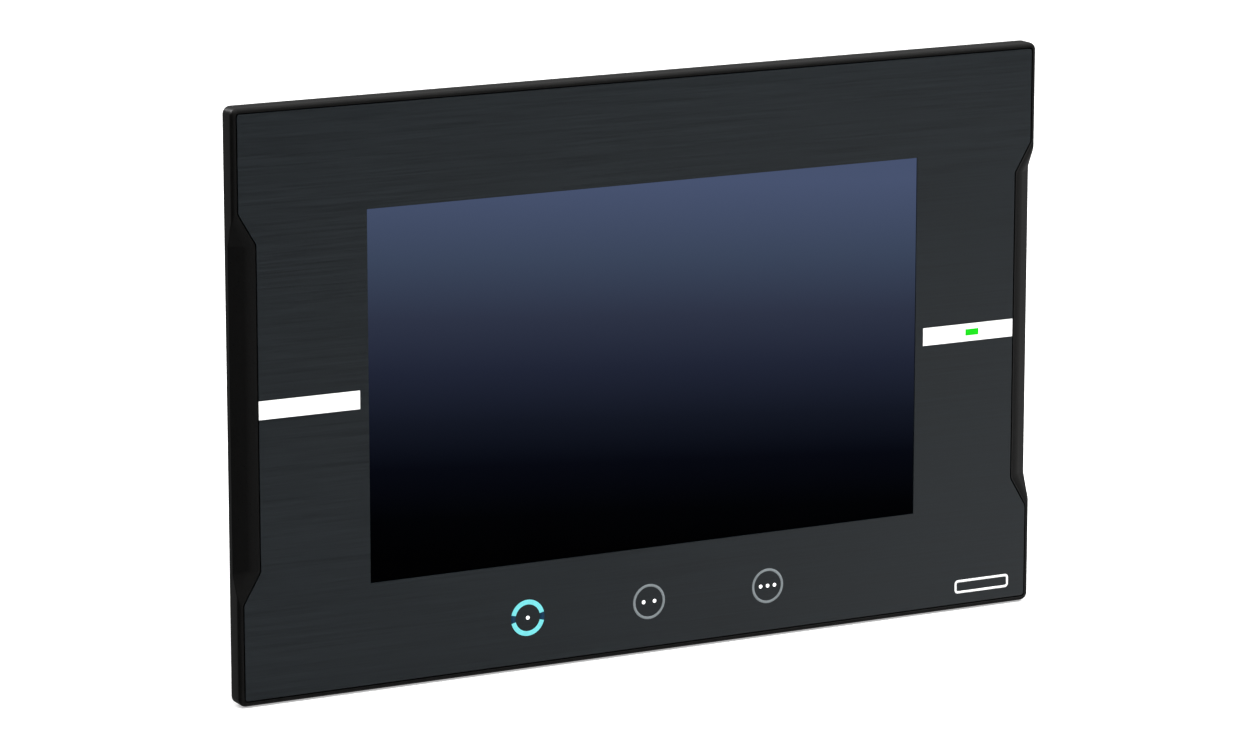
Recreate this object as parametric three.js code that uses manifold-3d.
// A panel-mounted operator touch panel, as an assembly of separate pieces. Units are millimetres.
// X runs to the right of the screen, Y from the screen towards the rear, and Z up.
// The origin is the centre of the panel cut-out, on the plane where the bezel's flange seats.
import * as THREE from "three";
import { mergeVertices } from "three/addons/utils/BufferGeometryUtils.js";
import Module from "manifold-3d";

const wasm = await Module();
wasm.setup();

// ---------------------------------------------------------------- driving dimensions

const SIDES = [-1, 1];
const GLUE = 0.05; // between layers that are stuck or clamped together
const FIT = 0.3; // between pieces that are assembled by hand
const PAST = 1; // how far a cutting solid runs past the face it opens
const CORNER_STEPS = 6; // straight steps round a corner of the bezel

const BEZEL = { width: 290, height: 190, depth: 6.6, corner: 2.5 };
const FRONT = -BEZEL.depth; // the plane of the front rim and of the front sheet
const RIM = 1.55; // width of the rim round the front sheet
const ROUND = { radius: 1.5, steps: 6 }; // the rim's rounded outer edge
const GROOVE = { width: 0.45, depth: 1.4 }; // dark gap between rim and sheet
const SHEET_EDGE = RIM + GROOVE.width;
const SHEET = { thickness: 0.5, corner: 0.8 };
// The grip notch in each side: its front edge lies inset from the side, and its face slopes back out to it.
const NOTCH = {
  inset: 5.9,
  low: 51.5,
  rise: 10,
  backLow: 52.2,
  spread: 0.8,
  land: 2.3,
  soften: 2,
};
const SCREEN = { width: 199, height: 120 };
const STRIPE = { inner: 102.5, height: 5.95, z: -0.35 };
const STATUS = { x: 121.35, z: -0.35, width: 5, height: 2.1 };
const STATUS_BOARD = { width: 9, height: 12, front: 1.9, rear: 3.5 };
const KEYS = { x: [-44.1, 0, 44.1], z: -78, guideR: 6.5 };
// The key sensor board lies in a room of the bezel, whose rear lip covers it below a given height.
const SENSOR = { width: 120, height: 14, z: -77.6, front: -2.3, rear: -1.1, room: 0.4, lip: -81.5 };

const WINDOW = { width: 215, height: 136 }; // opening in the bezel behind the sheet
const TOUCH = { width: 213, height: 134, front: FRONT + 0.6, thickness: 1.8 };
const GASKET = { width: 279.2, height: 181.2, band: 3.4, corner: 4, sunk: 1.0, proud: 0.8 };

const TRAY = { width: 259, height: 164, depth: 24, wall: 2, corner: 6 };
const CASE = { width: 194, height: 138, front: 24.1, rear: 62.4, wall: 2, corner: 5 };
const SCREWS = {
  x: 113,
  z: 50,
  shankR: 1.5,
  headR: 2.9,
  bossR: 4,
  tip: -4.5,
  under: 27.3,
  top: 29.5,
  cross: [3.4, 0.9],
};
const BRACKETS = { x: 80, axisZ: 86.9 };
const BOARD = { front: 33, thickness: 1.6, half: 90, bottom: -66, top: 60 };
const BOARD_REAR = BOARD.front + BOARD.thickness;
const ON_BOARD = BOARD_REAR + 0.1; // where the parts soldered on the board start
const PORT_FACE = -CASE.height / 2 - 0.2; // the connectors' mouths, just proud of the case's underside

// ---------------------------------------------------------------- solids

function solidOf(geometry) {
  const g = geometry.index ? geometry.toNonIndexed() : geometry.clone();
  g.deleteAttribute("normal");
  g.deleteAttribute("uv");
  const merged = mergeVertices(g, 1e-4);
  return new wasm.Manifold(
    new wasm.Mesh({
      numProp: 3,
      vertProperties: merged.attributes.position.array,
      triVerts: new Uint32Array(merged.index.array),
    }),
  );
}

function geometryOf(solid) {
  const mesh = solid.getMesh();
  const geometry = new THREE.BufferGeometry();
  geometry.setAttribute("position", new THREE.BufferAttribute(mesh.vertProperties, 3));
  geometry.setIndex(new THREE.BufferAttribute(mesh.triVerts, 1));
  return geometry;
}

function cut(base, ...tools) {
  return geometryOf(tools.reduce((made, tool) => made.subtract(solidOf(tool)), solidOf(base)));
}

function join(base, ...others) {
  return geometryOf(others.reduce((made, other) => made.add(solidOf(other)), solidOf(base)));
}

function block(x0, x1, y0, y1, z0, z1) {
  const geometry = new THREE.BoxGeometry(x1 - x0, y1 - y0, z1 - z0);
  return geometry.translate((x0 + x1) / 2, (y0 + y1) / 2, (z0 + z1) / 2);
}

// A block whose middle in X and Z is given.
function blockAt(x, z, width, height, y0, y1) {
  return block(x - width / 2, x + width / 2, y0, y1, z - height / 2, z + height / 2);
}

function rod(axis, radius, from, to, a = 0, b = 0, sides = 24) {
  const geometry = new THREE.CylinderGeometry(radius, radius, to - from, sides);
  const middle = (from + to) / 2;
  if (axis === "x") return geometry.rotateZ(Math.PI / 2).translate(middle, a, b);
  if (axis === "z") return geometry.rotateX(Math.PI / 2).translate(a, b, middle);
  return geometry.translate(a, middle, b);
}

// The basis that carries a shape drawn in its own plane, and the way it is extruded, into the part's frame.
const PLANES = {
  x: [new THREE.Vector3(0, 1, 0), new THREE.Vector3(0, 0, 1), new THREE.Vector3(1, 0, 0)],
  y: [new THREE.Vector3(1, 0, 0), new THREE.Vector3(0, 0, 1), new THREE.Vector3(0, -1, 0)],
};

// Extrudes a shape drawn in Y and Z along X, or one drawn in X and Z along Y.
function extrude(axis, shape, from, to, curveSegments = 4) {
  const geometry = new THREE.ExtrudeGeometry(shape, {
    depth: to - from,
    bevelEnabled: false,
    curveSegments,
  });
  const start = axis === "x" ? new THREE.Vector3(from, 0, 0) : new THREE.Vector3(0, to, 0);
  const placed = new THREE.Matrix4().makeBasis(...PLANES[axis]).setPosition(start);
  return geometry.applyMatrix4(placed);
}

// A closed outline through corners of [a, b, radius], each rounded by its radius.
function outline(corners, path = new THREE.Shape()) {
  const count = corners.length;
  corners.forEach(([a, b, radius = 0], i) => {
    const here = new THREE.Vector2(a, b);
    const [before, after] = [corners[(i + count - 1) % count], corners[(i + 1) % count]].map(
      ([u, v]) => new THREE.Vector2(u, v).sub(here).normalize(),
    );
    const turn = Math.PI - Math.acos(THREE.MathUtils.clamp(before.dot(after), -1, 1));
    const reach = radius * Math.tan(turn / 2);
    const pull = reach - (4 / 3) * Math.tan(turn / 4) * radius;
    const at = (way, distance) => here.clone().addScaledVector(way, distance);
    const [start, end] = [at(before, reach), at(after, reach)];
    if (i === 0) path.moveTo(start.x, start.y);
    else path.lineTo(start.x, start.y);
    if (radius > 0) {
      const [c1, c2] = [at(before, pull), at(after, pull)];
      path.bezierCurveTo(c1.x, c1.y, c2.x, c2.y, end.x, end.y);
    }
  });
  path.closePath();
  return path;
}

function rectangle(width, height, corner = 0, x = 0, z = 0, path = new THREE.Shape()) {
  const [w, h] = [width / 2, height / 2];
  const corners = [
    [x - w, z - h, corner],
    [x + w, z - h, corner],
    [x + w, z + h, corner],
    [x - w, z + h, corner],
  ];
  return outline(corners, path);
}

// A closed skin through rings of equally many points in X and Z, each ring at its own Y, from the
// rearmost to the foremost. A fan from the middle closes each end.
function loft(rings) {
  const count = rings[0].points.length;
  const positions = rings.flatMap(({ y, points }) => points.flatMap((p) => [p.x, y, p.y]));
  positions.push(0, rings[0].y, 0, 0, rings.at(-1).y, 0);
  const [rear, front] = [rings.length * count, rings.length * count + 1];
  const index = [];
  for (let i = 0; i < count; i += 1) {
    const next = (i + 1) % count;
    for (let k = 0; k + 1 < rings.length; k += 1) {
      const [a, b] = [k * count + i, k * count + next];
      index.push(a, b, a + count, b, b + count, a + count);
    }
    const last = (rings.length - 1) * count;
    index.push(rear, next, i, front, last + i, last + next);
  }
  const geometry = new THREE.BufferGeometry();
  geometry.setAttribute("position", new THREE.Float32BufferAttribute(positions, 3));
  geometry.setIndex(index);
  return geometry;
}

// A plate lying in X and Z, with rectangular holes of [width, height, corner, x, z].
function plate(shape, from, to, holes = [], curveSegments = 4) {
  for (const [w, h, corner = 0, x = 0, z = 0] of holes)
    shape.holes.push(rectangle(w, h, corner, x, z, new THREE.Path()));
  return extrude("y", shape, from, to, curveSegments);
}

// The front's outline, moved inwards by inset: a rounded rectangle with a notch in each side.
function frontOutline(inset, corner) {
  const [x, z] = [BEZEL.width / 2 - inset, BEZEL.height / 2 - inset];
  const slant = Math.atan(NOTCH.inset / NOTCH.rise);
  const low = NOTCH.low + inset * Math.tan(slant / 2);
  const high = low + NOTCH.rise;
  const right = [
    [x, -z, corner],
    [x, -high, NOTCH.soften],
    [x - NOTCH.inset, -low, NOTCH.soften],
    [x - NOTCH.inset, low, NOTCH.soften],
    [x, high, NOTCH.soften],
    [x, z, corner],
  ];
  const left = right.map(([a, b, radius]) => [-a, -b, radius]);
  return outline([...right, ...left]);
}

// ---------------------------------------------------------------- the assembly

const panel = new THREE.Group();

function add(name, geometry, [color, roughness, metalness], group = panel) {
  const mesh = new THREE.Mesh(
    geometry,
    new THREE.MeshStandardMaterial({ color, roughness, metalness }),
  );
  mesh.name = name;
  group.add(mesh);
  return mesh;
}

const LOOK = {
  bezel: [0x1c1c1d, 0.45, 0],
  sheet: [0x2c2f32, 0.4, 0.1],
  white: [0xf2f2f0, 0.4, 0],
  green: [0x10d820, 0.3, 0],
  screen: [0x20283c, 0.1, 0],
  clear: [0xd8e4ea, 0.1, 0],
  foam: [0x1b1b1b, 0.9, 0],
  flex: [0xb06a1c, 0.5, 0],
  steel: [0xb8bcc0, 0.35, 0.9],
  plated: [0xc9c9c6, 0.3, 0.9],
  board: [0x1e5a34, 0.5, 0],
  chip: [0x18181a, 0.5, 0],
  aluminium: [0xa6a9ad, 0.4, 0.9],
  housing: [0x2a2b2d, 0.6, 0],
  connector: [0x141415, 0.5, 0],
  plug: [0x1d7a3c, 0.5, 0],
  label: [0xd9dadb, 0.6, 0],
  battery: [0x3f6fae, 0.4, 0.2],
};

// ---------------------------------------------------------------- front

// One ring of the bezel's skin. Behind the land its sides are straight, and from there to the front
// each notch deepens evenly.
function bezelRing(y, inset) {
  const share = Math.max(0, (-NOTCH.land - y) / (BEZEL.depth - NOTCH.land));
  const side = BEZEL.width / 2 - inset;
  const [low, high] = [NOTCH.low, NOTCH.low + NOTCH.rise];
  const [backLow, backHigh] = [NOTCH.backLow - NOTCH.spread, NOTCH.backLow + NOTCH.spread];
  const points = frontOutline(inset, BEZEL.corner - inset).getPoints(CORNER_STEPS).slice(0, -1);
  const placed = points.map((point) => {
    if (Math.abs(point.y) > high + NOTCH.rise) return point;
    const along = THREE.MathUtils.mapLinear(Math.abs(point.y), low, high, backLow, backHigh);
    const straight = new THREE.Vector2(Math.sign(point.x) * side, Math.sign(point.y) * along);
    return straight.lerp(point, share);
  });
  return { y, points: placed };
}

// The bezel's outer shape: notches that slope in towards the front, and a rounded front edge.
function bezelBody() {
  const rings = [bezelRing(0, 0), bezelRing(-NOTCH.land, 0)];
  for (let i = 0; i <= ROUND.steps; i += 1) {
    const angle = (i / ROUND.steps) * (Math.PI / 2);
    const out = ROUND.radius * (1 - Math.sin(angle));
    rings.push(bezelRing(FRONT + out, ROUND.radius * (1 - Math.cos(angle))));
  }
  return loft(rings);
}

function frontBezel() {
  const gasketInner = [GASKET.width - 2 * GASKET.band, GASKET.height - 2 * GASKET.band];
  const groove = plate(
    rectangle(GASKET.width + GLUE, GASKET.height + GLUE, GASKET.corner),
    -GASKET.sunk,
    PAST,
    [[gasketInner[0] - GLUE, gasketInner[1] - GLUE, 1]],
  );
  const pocketFloor = FRONT + SHEET.thickness + GLUE;
  const slot = frontOutline(RIM, 1);
  slot.holes.push(new THREE.Path(frontOutline(SHEET_EDGE + GLUE, SHEET.corner).getPoints(4)));
  const roomSide = SENSOR.width / 2 + 2;
  const roomLow = SENSOR.z - SENSOR.height / 2 - SENSOR.room;
  const roomHigh = SENSOR.z + SENSOR.height / 2 + SENSOR.room;
  const tools = [
    extrude("y", frontOutline(RIM, 1), FRONT - PAST, pocketFloor),
    extrude("y", slot, FRONT - PAST, FRONT + GROOVE.depth),
    blockAt(0, 0, WINDOW.width, WINDOW.height, FRONT, PAST),
    blockAt(STATUS.x, STATUS.z, STATUS.width + FIT, STATUS.height + FIT, FRONT, PAST),
    block(-roomSide, roomSide, SENSOR.front - 0.2, SENSOR.rear + 0.1, roomLow, roomHigh),
    block(-roomSide, roomSide, SENSOR.front - 0.2, PAST, SENSOR.lip, roomHigh),
    groove,
  ];
  for (const x of KEYS.x)
    tools.push(rod("y", KEYS.guideR + 0.2, FRONT, SENSOR.front, x, KEYS.z, 32));
  for (const sx of SIDES)
    for (const sz of SIDES)
      tools.push(rod("y", SCREWS.shankR + 0.15, -4.8, PAST, sx * SCREWS.x, sz * SCREWS.z, 16));
  return cut(bezelBody(), ...tools);
}

function frontSheet() {
  const shape = frontOutline(SHEET_EDGE, SHEET.corner);
  const body = plate(shape, FRONT, FRONT + SHEET.thickness, [[SCREEN.width, SCREEN.height]]);
  const slots = SIDES.map((side) => {
    const [near, far] = [STRIPE.inner - GLUE, BEZEL.width / 2];
    const middle = (side * (near + far)) / 2;
    return blockAt(middle, STRIPE.z, far - near, STRIPE.height + 2 * GLUE, FRONT - PAST, 0);
  });
  return cut(body, ...slots);
}

function trimStripe(side) {
  const outer = BEZEL.width / 2 - SHEET_EDGE - NOTCH.inset;
  const middle = (side * (STRIPE.inner + outer)) / 2;
  const rear = FRONT + SHEET.thickness;
  const strip = blockAt(middle, STRIPE.z, outer - STRIPE.inner, STRIPE.height, FRONT, rear);
  if (side < 0) return strip;
  const hole = [STATUS.width + 2 * GLUE, STATUS.height + 2 * GLUE];
  return cut(strip, blockAt(STATUS.x, STATUS.z, ...hole, FRONT - PAST, 0));
}

add("front_bezel", frontBezel(), LOOK.bezel);
add("front_sheet", frontSheet(), LOOK.sheet);
add("trim_stripe_left", trimStripe(-1), LOOK.white);
add("trim_stripe_right", trimStripe(1), LOOK.white);
add(
  "status_light_guide",
  blockAt(STATUS.x, STATUS.z, STATUS.width, STATUS.height, FRONT, STATUS_BOARD.front - 0.2),
  LOOK.green,
);
add(
  "status_board",
  blockAt(STATUS.x, 0, STATUS_BOARD.width, STATUS_BOARD.height, STATUS_BOARD.front,
    STATUS_BOARD.rear),
  LOOK.board,
);

KEYS.x.forEach((x, i) =>
  add(
    `key_light_guide_${i + 1}`,
    rod("y", KEYS.guideR, FRONT + SHEET.thickness + 0.1, SENSOR.front - 0.4, x, KEYS.z, 32),
    LOOK.clear,
  ),
);
add(
  "key_sensor_board",
  blockAt(0, SENSOR.z, SENSOR.width, SENSOR.height, SENSOR.front, SENSOR.rear),
  LOOK.board,
);

add(
  "panel_gasket",
  plate(rectangle(GASKET.width, GASKET.height, GASKET.corner), GLUE - GASKET.sunk, GASKET.proud, [
    [GASKET.width - 2 * GASKET.band, GASKET.height - 2 * GASKET.band, 1],
  ]),
  LOOK.foam,
);

// ---------------------------------------------------------------- touch glass and display module

const touchRear = TOUCH.front + TOUCH.thickness;
add(
  "touch_panel",
  blockAt(0, 0, TOUCH.width, TOUCH.height, TOUCH.front, touchRear),
  LOOK.screen,
);

const SEAL = { width: 212, height: 133, hole: [202, 123] };
const MODULE = { width: 211, height: 134, front: -3.1, pan: -2.2, rear: 3.2, wall: 0.8, floor: 1 };
const MODULE_FRAME = { rear: -2.4, hole: [199.8, 120.8] };
const CELL = { width: 206, height: 128, front: -2.3, rear: -0.9 };
const GUIDE = { front: -0.8, rear: 1.7 };
const LEDS = { width: 200, height: 1.4, z: -65.2 };

add(
  "display_seal",
  plate(rectangle(SEAL.width, SEAL.height), touchRear + GLUE, MODULE.front - GLUE, [SEAL.hole]),
  LOOK.foam,
);
add(
  "lcd_frame",
  plate(rectangle(MODULE.width, MODULE.height), MODULE.front, MODULE_FRAME.rear, [
    MODULE_FRAME.hole,
  ]),
  LOOK.steel,
);
add("lcd_cell", blockAt(0, 0, CELL.width, CELL.height, CELL.front, CELL.rear), LOOK.chip);
add(
  "light_guide_plate",
  blockAt(0, 0, CELL.width, CELL.height, GUIDE.front, GUIDE.rear),
  LOOK.clear,
);
add("led_strip", blockAt(0, LEDS.z, LEDS.width, LEDS.height, GUIDE.front, GUIDE.rear), LOOK.white);

const FLEX = { half: 15, z: 67.35, thickness: 0.3, rear: 7.5, top: 48 };
const TOUCH_FLEX = { x0: 54, x1: 66, front: -5.4, end: 50 };
function backlightTray() {
  const body = blockAt(0, 0, MODULE.width, MODULE.height, MODULE.pan, MODULE.rear);
  const inside = [MODULE.width - 2 * MODULE.wall, MODULE.height - 2 * MODULE.wall];
  const way = FLEX.half + 1;
  return cut(
    body,
    blockAt(0, 0, ...inside, MODULE.pan - PAST, MODULE.rear - MODULE.floor),
    block(-way, way, MODULE.pan - PAST, GUIDE.front, CELL.height / 2, MODULE.height / 2 + 3),
  );
}
add("backlight_tray", backlightTray(), LOOK.steel);

// A ribbon as wide as X, bent in Y and Z: from the display's edge, back past the chassis plate and inwards.
function ribbon(x0, x1, startY, startZ, sign, endZ) {
  const [near, far] = [FLEX.z, FLEX.z + FLEX.thickness];
  const corners = [
    [startY, startZ],
    [startY + FLEX.thickness, startZ],
    [startY + FLEX.thickness, near],
    [FLEX.rear - FLEX.thickness, near],
    [FLEX.rear - FLEX.thickness, endZ],
    [FLEX.rear, endZ],
    [FLEX.rear, far],
    [startY, far],
  ].map(([y, z]) => [y, sign * z]);
  return extrude("x", outline(sign < 0 ? corners.reverse() : corners), x0, x1);
}
add(
  "lcd_flex",
  ribbon(-FLEX.half, FLEX.half, CELL.front + 0.5, CELL.height / 2 + 0.1, 1, FLEX.top),
  LOOK.flex,
);
add(
  "touch_flex",
  ribbon(TOUCH_FLEX.x0, TOUCH_FLEX.x1, TOUCH_FLEX.front, TOUCH.height / 2 + 0.1, -1,
    TOUCH_FLEX.end),
  LOOK.flex,
);

// ---------------------------------------------------------------- housing and chassis

const REAR_WINDOW = { width: 170, height: 114 }; // opening in the housing under the rear case
const BRACKET_SLOT = { half: 4.7, front: 9.7, rear: 12.3 };
const HOUSING_VENTS = { count: 12, pitch: 10, half: 3, front: 10, rear: 12.4 };

// A slot through the housing's upper wall, or through its lower one.
function wallSlot(x, half, front, rear, side) {
  const wall = TRAY.height / 2 - TRAY.wall / 2;
  return blockAt(x, side * wall, 2 * half, 3 * TRAY.wall, front, rear);
}

function displayHousing() {
  const size = [TRAY.width, TRAY.height];
  const inside = size.map((s) => s - 2 * TRAY.wall);
  const floor = TRAY.depth - TRAY.wall;
  const shell = cut(
    plate(rectangle(...size, TRAY.corner), 2 * GLUE, TRAY.depth),
    plate(rectangle(...inside, TRAY.corner - TRAY.wall), -PAST, floor),
    blockAt(0, 0, REAR_WINDOW.width, REAR_WINDOW.height, 0, TRAY.depth + PAST),
  );
  const bosses = [];
  const tools = [];
  for (const sx of SIDES)
    for (const sz of SIDES) {
      const [x, z] = [sx * SCREWS.x, sz * SCREWS.z];
      bosses.push(rod("y", SCREWS.bossR, 2 * GLUE, floor + 1, x, z, 20));
      tools.push(rod("y", SCREWS.shankR + 0.2, -PAST, TRAY.depth + PAST, x, z, 16));
      const { half, front, rear } = BRACKET_SLOT;
      tools.push(wallSlot(sx * BRACKETS.x, half, front, rear, sz));
    }
  // Vent slots between the brackets, in the top and the bottom wall.
  const { count, pitch, half, front, rear } = HOUSING_VENTS;
  for (let i = 0; i < count; i += 1)
    for (const side of SIDES)
      tools.push(wallSlot((i - (count - 1) / 2) * pitch, half, front, rear, side));
  return cut(join(shell, ...bosses), ...tools);
}
add("display_housing", displayHousing(), LOOK.housing);

const CHASSIS = { width: 248, height: 154, corner: 3, front: 4, rear: 5.2, bossRoom: 0.5 };
function chassisPlate() {
  // Width, height, corner, X and Z of each opening.
  const holes = [
    [34, 8, 1, 0, 69.5], // the display's ribbon
    [16, 8, 1, 60, -69.5], // the touch panel's ribbon
    [70, 24, 3, 0, 0], // lightening hole
    [36, 16, 3, -60, -40], // lightening hole
  ];
  const clear = [];
  for (const sx of SIDES)
    for (const sz of SIDES)
      clear.push(
        rod("y", SCREWS.bossR + CHASSIS.bossRoom, 0, 8, sx * SCREWS.x, sz * SCREWS.z, 20),
      );
  const outer = rectangle(CHASSIS.width, CHASSIS.height, CHASSIS.corner);
  return cut(plate(outer, CHASSIS.front, CHASSIS.rear, holes), ...clear);
}
add("chassis_plate", chassisPlate(), LOOK.steel);

for (const [row, sz] of [["top", 1], ["bottom", -1]])
  for (const [column, sx] of [["left", -1], ["right", 1]]) {
    const [x, z] = [sx * SCREWS.x, sz * SCREWS.z];
    const shank = rod("y", SCREWS.shankR, SCREWS.tip, SCREWS.under + 0.1, x, z, 16);
    const head = rod("y", SCREWS.headR, SCREWS.under, SCREWS.top, x, z, 20);
    const [long, wide] = SCREWS.cross;
    const cross = [
      blockAt(x, z, long, wide, SCREWS.top - 0.9, SCREWS.top + PAST),
      blockAt(x, z, wide, long, SCREWS.top - 0.9, SCREWS.top + PAST),
    ];
    add(`case_screw_${row}_${column}`, cut(join(shank, head), ...cross), LOOK.plated);
  }

// ---------------------------------------------------------------- main board

add(
  "main_board",
  block(-BOARD.half, BOARD.half, BOARD.front, BOARD_REAR, BOARD.bottom, BOARD.top),
  LOOK.board,
);
const CHIP = { x: 0, z: 18, size: 27, height: 1.8 };
const FINS = { size: 50, base: 3, rear: 52, count: 9, pitch: 6, thickness: 1.6 };
const chipRear = ON_BOARD + CHIP.height;
add("processor", blockAt(CHIP.x, CHIP.z, CHIP.size, CHIP.size, ON_BOARD, chipRear), LOOK.chip);
function heatSink() {
  const base = chipRear + GLUE;
  const fins = [];
  for (let i = 0; i < FINS.count; i += 1) {
    const x = CHIP.x + (i - (FINS.count - 1) / 2) * FINS.pitch;
    fins.push(blockAt(x, CHIP.z, FINS.thickness, FINS.size, base + FINS.base - 1, FINS.rear));
  }
  return join(blockAt(CHIP.x, CHIP.z, FINS.size, FINS.size, base, base + FINS.base), ...fins);
}
add("heat_sink", heatSink(), LOOK.aluminium);

const BUZZER = { x: 64, z: -28, radius: 6, height: 6 };
add(
  "buzzer",
  rod("y", BUZZER.radius, ON_BOARD, ON_BOARD + BUZZER.height, BUZZER.x, BUZZER.z, 24),
  LOOK.chip,
);

// ---------------------------------------------------------------- connectors on the underside

const POWER = { x: 76, width: 20, front: ON_BOARD, rear: ON_BOARD + 9, top: -56, pitch: 5.08 };
const PLUG = { inWidth: 17.4, inFront: 36.6, inRear: 41.9, shoulder: -69.6, tip: -60.4 };
const PLUG_BODY = { front: 35, rear: 46, bottom: -80 };
const POLES = [-1, 0, 1].map((i) => POWER.x + i * POWER.pitch);
const PIN = { y: (PLUG.inFront + PLUG.inRear) / 2, half: 0.5, room: 0.85, tip: -67 };
const WIRE_ENTRY = { half: 1.5, front: 36.6, rear: 40, top: -72 };

function powerHeader() {
  const [x0, x1] = [POWER.x - POWER.width / 2, POWER.x + POWER.width / 2];
  const cavity = PLUG.inWidth / 2 + 0.4;
  const shroud = cut(
    block(x0, x1, POWER.front, POWER.rear, PORT_FACE, POWER.top),
    block(
      POWER.x - cavity,
      POWER.x + cavity,
      PLUG.inFront - 0.4,
      PLUG.inRear + 0.4,
      PORT_FACE - PAST,
      POWER.top - 3,
    ),
  );
  const pins = POLES.map((x) =>
    block(x - PIN.half, x + PIN.half, PIN.y - PIN.half, PIN.y + PIN.half, PIN.tip, POWER.top - 1),
  );
  return join(shroud, ...pins);
}
add("power_header", powerHeader(), LOOK.plug);

const TERMINAL = { z: -75, headR: 1.8, front: 42.8, rear: 45.6, slot: [0.6, 0.7] };
function powerPlug() {
  const half = POWER.width / 2;
  const body = join(
    block(POWER.x - half, POWER.x + half, PLUG_BODY.front, PLUG_BODY.rear, PLUG_BODY.bottom,
      PLUG.shoulder),
    block(POWER.x - PLUG.inWidth / 2, POWER.x + PLUG.inWidth / 2, PLUG.inFront, PLUG.inRear,
      PLUG.shoulder - 1, PLUG.tip),
  );
  const tools = [];
  for (const x of POLES) {
    tools.push(
      block(x - PIN.room, x + PIN.room, PIN.y - PIN.room, PIN.y + PIN.room, PIN.tip - 4,
        PLUG.tip + PAST),
      block(x - WIRE_ENTRY.half, x + WIRE_ENTRY.half, WIRE_ENTRY.front, WIRE_ENTRY.rear,
        PLUG_BODY.bottom - PAST, WIRE_ENTRY.top),
      rod("y", TERMINAL.headR + FIT, TERMINAL.front - 0.4, PLUG_BODY.rear + PAST, x, TERMINAL.z,
        20),
    );
  }
  return cut(body, ...tools);
}
add("power_plug", powerPlug(), LOOK.plug);

POLES.forEach((x, i) => {
  const head = rod("y", TERMINAL.headR, TERMINAL.front, TERMINAL.rear, x, TERMINAL.z, 20);
  const [wide, deep] = TERMINAL.slot;
  const across = 2 * (TERMINAL.headR + PAST);
  const slot = blockAt(x, TERMINAL.z, across, wide, TERMINAL.rear - deep, TERMINAL.rear + PAST);
  add(`terminal_screw_${i + 1}`, cut(head, slot), LOOK.plated);
});

// A socket whose mouth opens downwards: a box with a cavity of [width, height, depth, shift] blocks,
// and a tongue of [width, height, shift] inside it.
function socket(x, width, height, depth, cavity, tongue) {
  const [y0, top] = [ON_BOARD, PORT_FACE + depth];
  const middle = y0 + height / 2;
  const body = cut(
    block(x - width / 2, x + width / 2, y0, y0 + height, PORT_FACE, top),
    ...cavity.map(([w, h, deep, shift = 0]) =>
      block(x - w / 2, x + w / 2, middle - h / 2 + shift, middle + h / 2 + shift,
        PORT_FACE - PAST, PORT_FACE + deep),
    ),
  );
  if (!tongue) return body;
  const [w, h, shift] = tongue;
  return join(
    body,
    block(x - w / 2, x + w / 2, middle - h / 2 + shift, middle + h / 2 + shift, PORT_FACE + 1,
      top - 0.5),
  );
}

const JACK = {
  width: 16,
  height: 13.4,
  depth: 21,
  cavity: [[11.8, 6.9, 14, -0.6], [6.2, 2, 14, 3.6], [4, 2, 14, 5]],
};
const USB_A = { width: 13.1, height: 6.2, depth: 14, cavity: [[12.3, 5.1, 12]], tongue: [11, 1.8, 1.2] };
const USB_B = { width: 12, height: 11, depth: 16, cavity: [[8.6, 7.9, 12]], tongue: [5.6, 3.2, 0] };
const PORTS = { ethernet: [-68, -49], usbHost: [-26.5, -8], usbDevice: 10.5, serial: 41 };

PORTS.ethernet.forEach((x, i) =>
  add(
    `ethernet_jack_${i + 1}`,
    socket(x, JACK.width, JACK.height, JACK.depth, JACK.cavity),
    LOOK.plated,
  ),
);
PORTS.usbHost.forEach((x, i) =>
  add(
    `usb_host_port_${i + 1}`,
    socket(x, USB_A.width, USB_A.height, USB_A.depth, USB_A.cavity, USB_A.tongue),
    LOOK.plated,
  ),
);
add(
  "usb_device_port",
  socket(PORTS.usbDevice, USB_B.width, USB_B.height, USB_B.depth, USB_B.cavity, USB_B.tongue),
  LOOK.plated,
);

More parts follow.
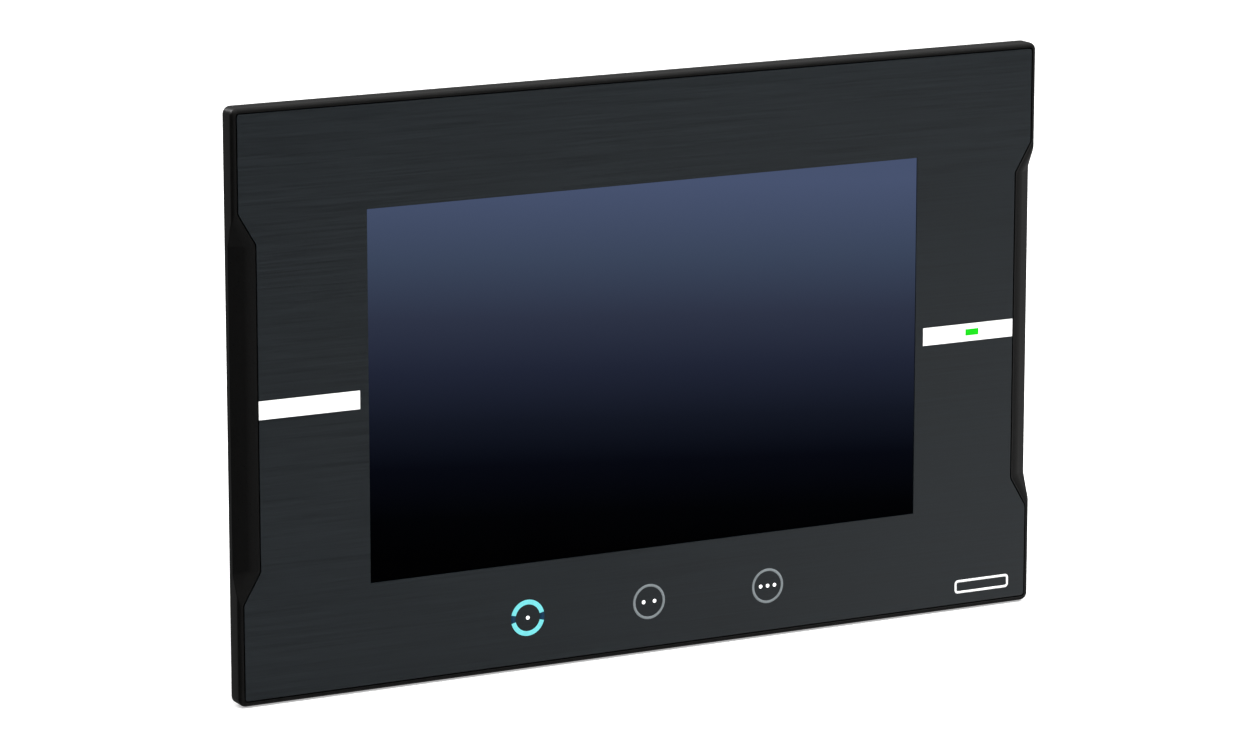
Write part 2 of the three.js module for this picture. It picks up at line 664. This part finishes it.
const SERIAL = {
  flange: 30.8,
  height: 12.5,
  shellOut: 6,
  shell: { wide: 8.5, narrow: 7.1, half: 4.2, corner: 2, wall: 0.5 },
  rear: { width: 19, depth: 12 },
  nuts: { x: 12.5, radius: 2.6, hole: 1.4, out: 4.8 },
  pins: { count: 9, upper: 5, pitch: 2.77, row: 1.4, radius: 0.5 },
};
function serialPort() {
  const x = PORTS.serial;
  const middle = ON_BOARD + SERIAL.height / 2;
  // The shell's D outline, drawn in X and Y and extruded along Z.
  const dShape = (grow) => {
    const { corner } = SERIAL.shell;
    const wide = SERIAL.shell.wide + grow;
    const narrow = SERIAL.shell.narrow + grow;
    const half = SERIAL.shell.half + grow;
    return outline([
      [-narrow, -half, corner],
      [narrow, -half, corner],
      [wide, half, corner],
      [-wide, half, corner],
    ]);
  };
  const along = (grow, from, to) =>
    new THREE.ExtrudeGeometry(dShape(grow), {
      depth: to - from,
      bevelEnabled: false,
      curveSegments: 4,
    }).translate(x, middle, from);
  const flange = block(x - SERIAL.flange / 2, x + SERIAL.flange / 2, ON_BOARD,
    ON_BOARD + SERIAL.height, PORT_FACE, PORT_FACE + 1);
  const half = SERIAL.rear.width / 2;
  const rear = block(x - half, x + half, ON_BOARD, ON_BOARD + SERIAL.height, PORT_FACE + 0.5,
    PORT_FACE + SERIAL.rear.depth);
  const mouth = PORT_FACE - SERIAL.shellOut;
  const nutRod = (side, radius, from, to, sides) =>
    rod("z", radius, from, to, x + side * SERIAL.nuts.x, middle, sides);
  const nuts = SIDES.map((side) =>
    nutRod(side, SERIAL.nuts.radius, PORT_FACE - SERIAL.nuts.out, PORT_FACE + 0.5, 6),
  );
  const nutHoles = SIDES.map((side) =>
    nutRod(side, SERIAL.nuts.hole, PORT_FACE - SERIAL.nuts.out - PAST, PORT_FACE - 1, 12),
  );
  const body = cut(
    join(flange, rear, along(SERIAL.shell.wall, mouth, PORT_FACE + 0.5), ...nuts),
    along(0, mouth - PAST, PORT_FACE),
    ...nutHoles,
  );
  // Five pins in the wide row and four in the narrow one.
  const { count, upper, pitch, row, radius } = SERIAL.pins;
  const pins = [];
  for (let i = 0; i < count; i += 1) {
    const place = i < upper ? i - (upper - 1) / 2 : i - upper - (count - upper - 1) / 2;
    const y = middle + (i < upper ? row : -row);
    pins.push(rod("z", radius, mouth + 1, PORT_FACE + 1, x + place * pitch, y, 8));
  }
  return join(body, ...pins);
}
add("serial_port", serialPort(), LOOK.plated);

const RESET = { x: -83.5, y: 39, radius: 1.7, end: -68.5, top: -65.1 };
const SWITCH = { half: 3, height: 7, bottom: -64, top: -58 };
add(
  "reset_switch",
  block(RESET.x - SWITCH.half, RESET.x + SWITCH.half, ON_BOARD, ON_BOARD + SWITCH.height,
    SWITCH.bottom, SWITCH.top),
  LOOK.chip,
);
add(
  "reset_button",
  rod("z", RESET.radius, RESET.end, RESET.top, RESET.x, RESET.y, 20),
  LOOK.battery,
);

// ---------------------------------------------------------------- memory card and its door, in a side wall

const CARD = { z: 24, width: 24, length: 32, front: 35.2, rear: 37.3, out: -91.5, chamfer: 4 };
const SLOT = { mouth: -90, back: -57, rear: 38.1, extra: 4 };
function cardSlot() {
  const wide = CARD.width + SLOT.extra;
  return cut(
    block(SLOT.mouth, SLOT.back, ON_BOARD, SLOT.rear, CARD.z - wide / 2, CARD.z + wide / 2),
    block(SLOT.mouth - PAST, SLOT.back - 1, CARD.front - 0.2, CARD.rear + 0.3,
      CARD.z - CARD.width / 2 - FIT, CARD.z + CARD.width / 2 + FIT),
  );
}
add("sd_card_slot", cardSlot(), LOOK.plated);

function memoryCard() {
  const [x1, half] = [CARD.out + CARD.length, CARD.width / 2];
  // Drawn in X and Z, with the one cut corner at the inner end.
  const shape = outline([
    [CARD.out, CARD.z - half, 1],
    [x1, CARD.z - half, 1],
    [x1, CARD.z + half - CARD.chamfer],
    [x1 - CARD.chamfer, CARD.z + half],
    [CARD.out, CARD.z + half, 1],
  ]);
  return extrude("y", shape, CARD.front, CARD.rear, 2);
}
add("sd_card", memoryCard(), LOOK.chip);

const CARD_DOOR = { y0: 30.4, y1: 44.6, z0: 8.4, z1: 39.6, thickness: 1.6 };
const CARD_HINGE = { x: -95.6, y: 44.2 };
const PIVOT = { radius: 1.3, pinR: 0.7, pinOut: 1.3, room: 0.2 }; // both small doors' barrels and pins
const GRIP = { half: 6, deep: 0.6, wide: 1.4 }; // the finger nick in each small door
function cardDoor() {
  const outer = -CASE.width / 2;
  const leaf = block(outer, outer + CARD_DOOR.thickness, CARD_DOOR.y0, CARD_DOOR.y1, CARD_DOOR.z0,
    CARD_DOOR.z1);
  const { x, y } = CARD_HINGE;
  const barrel = rod("z", PIVOT.radius, CARD_DOOR.z0, CARD_DOOR.z1, x, y, 20);
  const pins = rod("z", PIVOT.pinR, CARD_DOOR.z0 - PIVOT.pinOut, CARD_DOOR.z1 + PIVOT.pinOut, x,
    y, 12);
  const grip = block(outer - PAST, outer + GRIP.deep, CARD_DOOR.y0 - PAST,
    CARD_DOOR.y0 + GRIP.wide, CARD.z - GRIP.half, CARD.z + GRIP.half);
  return cut(join(leaf, barrel, pins), grip);
}
add("sd_door", cardDoor(), LOOK.housing);

// ---------------------------------------------------------------- battery and its door, in the rear wall

const BAY = { x0: 26, x1: 66, z0: 18, z1: 46, wall: 1.6, floor: 44 };
const BATTERY = { x0: 33, x1: 58, y: 52.9, z: 31, radius: 7.2, cap: 2.6 };
const HOLDER = { inset: 3, half: 8, front: BAY.floor + 0.2, base: 1.2, rear: 58, gap: 0.4 };
function batteryHolder() {
  const [x0, x1] = [BAY.x0 + HOLDER.inset, BAY.x1 - HOLDER.inset];
  const [z0, z1] = [BATTERY.z - HOLDER.half, BATTERY.z + HOLDER.half];
  const base = block(x0, x1, HOLDER.front, HOLDER.front + HOLDER.base, z0, z1);
  const ends = [
    block(x0, BATTERY.x0 - HOLDER.gap, HOLDER.front, HOLDER.rear, z0, z1),
    block(BATTERY.x1 + HOLDER.gap, x1, HOLDER.front, HOLDER.rear, z0, z1),
  ];
  return join(base, ...ends);
}
add("battery_holder", batteryHolder(), LOOK.connector);
add(
  "battery",
  join(
    rod("x", BATTERY.radius, BATTERY.x0, BATTERY.x1 - 1, BATTERY.y, BATTERY.z, 28),
    rod("x", BATTERY.cap, BATTERY.x1 - 1.5, BATTERY.x1, BATTERY.y, BATTERY.z, 16),
  ),
  LOOK.battery,
);

const LID = { x0: 28.4, x1: 63.6, z0: 20.4, z1: 44.2, thickness: 1.6 };
const LID_HINGE = { y: CASE.rear - 1.4, z: 44 };
function batteryCover() {
  const { y, z } = LID_HINGE;
  const leaf = block(LID.x0, LID.x1, CASE.rear - LID.thickness, CASE.rear, LID.z0, LID.z1 + 0.2);
  const barrel = rod("x", PIVOT.radius, LID.x0, LID.x1, y, z, 20);
  const pins = rod("x", PIVOT.pinR, LID.x0 - PIVOT.pinOut, LID.x1 + PIVOT.pinOut, y, z, 12);
  const middle = (LID.x0 + LID.x1) / 2;
  const grip = block(middle - GRIP.half, middle + GRIP.half, CASE.rear - GRIP.deep,
    CASE.rear + PAST, LID.z0 - PAST, LID.z0 + GRIP.wide);
  return cut(join(leaf, barrel, pins), grip);
}
add("battery_cover", batteryCover(), LOOK.housing);

// ---------------------------------------------------------------- rear case

const EXPANSION = { x: -52, z: 31, width: 52, height: 20 };
const COVER = { gap: 0.3, sunk: 0.3, thickness: 1.5, plug: 4, deep: 4.5 };
const EAR = { inner: 96, outer: 119, height: 16, rear: 27.2 };
const PILLAR = { x: 84, z: 52, up: 2, radius: 3.5 }; // the posts that clamp the main board
const CARD_FRAME = { inner: -93, front: 28, rear: 48, z0: 4, z1: 44 }; // thickening round the card door
// Rows of vent slots: the first and last slot of each row, and the slots' span.
const VENTS = { pitch: 8, half: 1.2, left: -76, count: 20, margin: 2 };
const VENT_SPAN = { top: [31, 55], bottom: [51.5, 57], back: [-48, -24] };

function rearCase() {
  const size = [CASE.width, CASE.height];
  const inside = size.map((s) => s - 2 * CASE.wall);
  const inner = CASE.rear - CASE.wall;
  const shell = cut(
    plate(rectangle(...size, CASE.corner), CASE.front, CASE.rear),
    plate(rectangle(...inside, CASE.corner - CASE.wall), CASE.front - PAST, inner),
  );
  const added = [
    block(BAY.x0, BAY.x1, BAY.floor - BAY.wall, inner + 0.5, BAY.z0, BAY.z1),
    block(-EAR.inner, CARD_FRAME.inner, CARD_FRAME.front, CARD_FRAME.rear, CARD_FRAME.z0,
      CARD_FRAME.z1),
  ];
  for (const sx of SIDES)
    for (const sz of SIDES) {
      const ear = [sx * EAR.inner, sx * EAR.outer].sort((a, b) => a - b);
      const middle = sz * SCREWS.z;
      added.push(block(...ear, CASE.front, EAR.rear, middle - EAR.height / 2,
        middle + EAR.height / 2));
      const z = sz * PILLAR.z + PILLAR.up;
      added.push(rod("y", PILLAR.radius, BOARD_REAR + 0.2, inner + 0.5, sx * PILLAR.x, z, 16));
    }
  const gap = 0.4; // round each small door
  const bore = PIVOT.pinR + PIVOT.room;
  const pinEnd = PIVOT.pinOut + PIVOT.room;
  const tools = [
    // battery bay, its door opening and the door's hinge bores
    block(BAY.x0 + BAY.wall, BAY.x1 - BAY.wall, BAY.floor, inner + 0.7, BAY.z0 + BAY.wall,
      BAY.z1 - BAY.wall),
    block(LID.x0 - gap, LID.x1 + gap, inner - 2, CASE.rear + PAST, LID.z0 - gap, BAY.z1),
    rod("x", bore, LID.x0 - pinEnd, LID.x1 + pinEnd, LID_HINGE.y, LID_HINGE.z, 12),
    // card door opening and its hinge bores
    block(-CASE.width / 2 - PAST, CARD_FRAME.inner + PAST, CARD_DOOR.y0 - gap, CARD_DOOR.y1 + 1.4,
      CARD_DOOR.z0 - gap, CARD_DOOR.z1 + gap),
    rod("z", bore, CARD_DOOR.z0 - pinEnd, CARD_DOOR.z1 + pinEnd, CARD_HINGE.x, CARD_HINGE.y, 12),
    // expansion connector opening
    blockAt(EXPANSION.x, EXPANSION.z, EXPANSION.width, EXPANSION.height, inner - PAST,
      CASE.rear + PAST),
    // reset hole
    rod("z", RESET.radius + 0.35, PORT_FACE - 3, -CASE.height / 2 + 4, RESET.x, RESET.y, 20),
  ];
  const wallOf = (side, half, y0, y1, x) =>
    blockAt(x, side * (CASE.height / 2 - PAST), 2 * half, 6, y0, y1);
  const mouth = (x, width, y0, y1) =>
    tools.push(wallOf(-1, width / 2, y0 - FIT, y1 + FIT, x));
  mouth(POWER.x, POWER.width + 2 * FIT, POWER.front, POWER.rear);
  for (const x of PORTS.ethernet)
    mouth(x, JACK.width + 2 * FIT, ON_BOARD, ON_BOARD + JACK.height);
  for (const x of PORTS.usbHost)
    mouth(x, USB_A.width + 2 * FIT, ON_BOARD, ON_BOARD + USB_A.height);
  mouth(PORTS.usbDevice, USB_B.width + 2 * FIT, ON_BOARD, ON_BOARD + USB_B.height);
  mouth(PORTS.serial, SERIAL.flange + 2 * FIT, ON_BOARD, ON_BOARD + SERIAL.height);
  // Vent slots: one row in the top wall, one in the rear wall under the covers, one in the bottom wall.
  const { half } = VENTS;
  for (let i = 0; i < VENTS.count; i += 1) {
    const x = VENTS.left + i * VENTS.pitch;
    tools.push(wallOf(1, half, ...VENT_SPAN.top, x));
    if (i < VENTS.margin || i >= VENTS.count - VENTS.margin) continue;
    tools.push(
      wallOf(-1, half, ...VENT_SPAN.bottom, x),
      block(x - half, x + half, inner - PAST, CASE.rear + PAST, ...VENT_SPAN.back),
    );
  }
  for (const sx of SIDES)
    for (const sz of SIDES)
      tools.push(rod("y", SCREWS.shankR + FIT, TRAY.depth - PAST, SCREWS.top, sx * SCREWS.x,
        sz * SCREWS.z, 16));
  return cut(join(shell, ...added), ...tools);
}
add("rear_case", rearCase(), LOOK.housing);

// A blank plate with a raised plug on its inner side.
function expansionCover() {
  const outer = CASE.rear - COVER.sunk;
  const inner = outer - COVER.thickness;
  const edge = 2 * COVER.gap;
  const plug = 2 * COVER.plug;
  return join(
    blockAt(EXPANSION.x, EXPANSION.z, EXPANSION.width - edge, EXPANSION.height - edge, inner,
      outer),
    blockAt(EXPANSION.x, EXPANSION.z, EXPANSION.width - plug, EXPANSION.height - plug,
      CASE.rear - COVER.deep, inner + 0.1),
  );
}
add(
  "expansion_cover",
  expansionCover(),
  LOOK.housing,
);

const LABEL = { width: 90, height: 24, z: -4, thickness: 0.3 };
add(
  "rating_plate",
  blockAt(0, LABEL.z, LABEL.width, LABEL.height, CASE.rear + GLUE,
    CASE.rear + GLUE + LABEL.thickness),
  LOOK.label,
);

// ---------------------------------------------------------------- mounting brackets and clamp screws

const HOOK = { half: 4, front: 9.95, rear: 12.05, inner: 78.6 };
const FOOT = { half: 8, front: 9, rear: 17.5, z0: 82.3, z1: 83.9 };
const LUG = { half: 6, front: 13.5, rear: 17.5, top: 90.4 };
const CLAMP = { shankR: 2, headR: 3, tip: 6.6, head: 24, end: 27, slot: [0.8, 1] };

// Drawn for the upper edge, round its own middle in X.
function mountingBracket() {
  return cut(
    join(
      block(-FOOT.half, FOOT.half, FOOT.front, FOOT.rear, FOOT.z0, FOOT.z1),
      block(-HOOK.half, HOOK.half, HOOK.front, HOOK.rear, HOOK.inner, FOOT.z0 + 0.5),
      block(-LUG.half, LUG.half, LUG.front, LUG.rear, FOOT.z1 - 0.5, LUG.top),
    ),
    rod("y", CLAMP.shankR + 0.15, LUG.front - PAST, LUG.rear + PAST, 0, BRACKETS.axisZ, 20),
  );
}

function clampScrew() {
  const [wide, deep] = CLAMP.slot;
  const across = 2 * (CLAMP.headR + PAST);
  const slot = blockAt(0, BRACKETS.axisZ, across, wide, CLAMP.end - deep, CLAMP.end + PAST);
  return cut(
    join(
      rod("y", CLAMP.shankR, CLAMP.tip, CLAMP.head + 0.5, 0, BRACKETS.axisZ, 20),
      rod("y", CLAMP.headR, CLAMP.head, CLAMP.end, 0, BRACKETS.axisZ, 24),
    ),
    slot,
  );
}

for (const [row, turn] of [["top", 0], ["bottom", Math.PI]])
  for (const [column, side] of [["left", -1], ["right", 1]]) {
    const place = new THREE.Group();
    place.position.x = side * BRACKETS.x;
    place.rotation.y = turn;
    panel.add(place);
    add(`bracket_${row}_${column}`, mountingBracket(), LOOK.steel, place);
    add(`clamp_screw_${row}_${column}`, clampScrew(), LOOK.plated, place);
  }

export default panel;
